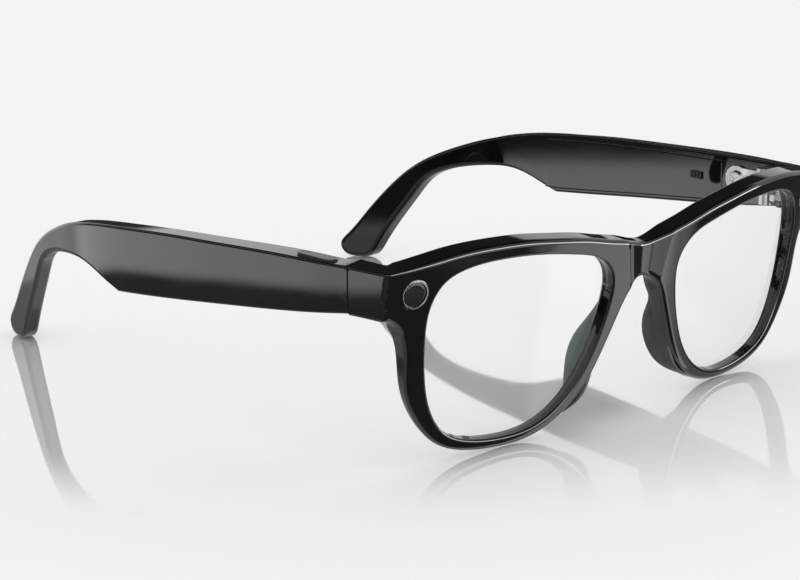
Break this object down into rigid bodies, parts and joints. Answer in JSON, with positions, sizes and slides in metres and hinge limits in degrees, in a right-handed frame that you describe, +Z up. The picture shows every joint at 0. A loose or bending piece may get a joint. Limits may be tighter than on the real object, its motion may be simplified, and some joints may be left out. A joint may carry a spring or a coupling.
{
  "type": "smart glasses",
  "caption": "Square-rimmed glossy black eyeglasses with clear lenses and folding temples that hold a camera, an indicator light, speakers, a capture button and a power switch.",
  "frame": {"origin": "middle of the bounding box from above, on the surface that the rims and temple tips stand on", "axes": "+X to the wearer's left, +Y from the front back along the temples, +Z up"},
  "size_m": [0.1502, 0.1584, 0.0475],
  "materials": {
    "frame_plastic": "glossy black",
    "nose_pad": "satin dark grey",
    "lens_glass": "clear with a faint green coating",
    "bezel": "glossy black",
    "dark_window": "polished black",
    "clear_plastic": "clear",
    "camera_metal": "dark anodised",
    "circuit_board": "solder mask",
    "flex_film": "amber film",
    "shield_metal": "plain",
    "contact_metal": "gold plated",
    "hinge_steel": "bright",
    "speaker_case": "matte",
    "mesh_steel": "blackened",
    "switch_plastic": "matte",
    "button_plastic": "satin black",
    "battery_foil": "foil"
  },
  "bodies": {
    "front": {"front_frame": "frame_plastic", "brow_cover": "frame_plastic", "front_flex_cable": "flex_film", "bridge_microphone": "shield_metal", "charging_contacts": "contact_metal", "left_lens": "lens_glass", "right_lens": "lens_glass", "left_nose_pad": "nose_pad", "right_nose_pad": "nose_pad", "camera_bezel_ring": "bezel", "camera_window": "dark_window", "camera_module": "camera_metal", "camera_board": "circuit_board", "indicator_bezel_ring": "bezel", "indicator_window": "dark_window", "indicator_light_guide": "clear_plastic", "indicator_board": "circuit_board", "left_hinge_front_leaf": "hinge_steel", "right_hinge_front_leaf": "hinge_steel", "left_hinge_pin": "hinge_steel", "right_hinge_pin": "hinge_steel", "front_leaf_screws": "hinge_steel"},
    "left_temple": {"left_temple_shell": "frame_plastic", "left_temple_inner_cover": "frame_plastic", "left_hinge_temple_leaf": "hinge_steel", "left_hinge_leaf_screw": "hinge_steel", "left_temple_flex_cable": "flex_film", "left_speaker": "speaker_case", "left_speaker_mesh": "mesh_steel", "left_temple_microphone": "shield_metal", "left_slide_switch_body": "switch_plastic", "left_battery": "battery_foil", "left_power_board": "circuit_board"},
    "right_temple": {"right_temple_shell": "frame_plastic", "right_temple_inner_cover": "frame_plastic", "right_hinge_temple_leaf": "hinge_steel", "right_hinge_leaf_screw": "hinge_steel", "right_temple_flex_cable": "flex_film", "right_speaker": "speaker_case", "right_speaker_mesh": "mesh_steel", "right_temple_microphone": "shield_metal", "right_button_switch": "switch_plastic", "right_main_board": "circuit_board", "right_processor_shield": "shield_metal", "right_touchpad_sensor": "flex_film"},
    "power_switch": {"left_power_switch": "switch_plastic"},
    "capture_button": {"right_capture_button": "button_plastic"}
  },
  "joints": [
    {"name": "left_temple_fold", "type": "hinge", "parent": "front", "child": "left_temple", "pos_m": [0.066, -0.05849, 0.0391], "axis": [0, 0, 1], "range_deg": [0, 88]},
    {"name": "right_temple_fold", "type": "hinge", "parent": "front", "child": "right_temple", "pos_m": [-0.066, -0.05849, 0.0391], "axis": [0, 0, -1], "range_deg": [0, 78]},
    {"name": "power_switch_slide", "type": "slide", "parent": "left_temple", "child": "power_switch", "axis": [0.0733, 0.9973, 0], "range_m": [0, 0.002]},
    {"name": "capture_button_press", "type": "slide", "parent": "right_temple", "child": "capture_button", "axis": [0, 0, -1], "range_m": [0, 0.00035], "stiffness_N_per_m": 1500, "springref_m": -0.0002}
  ]
}
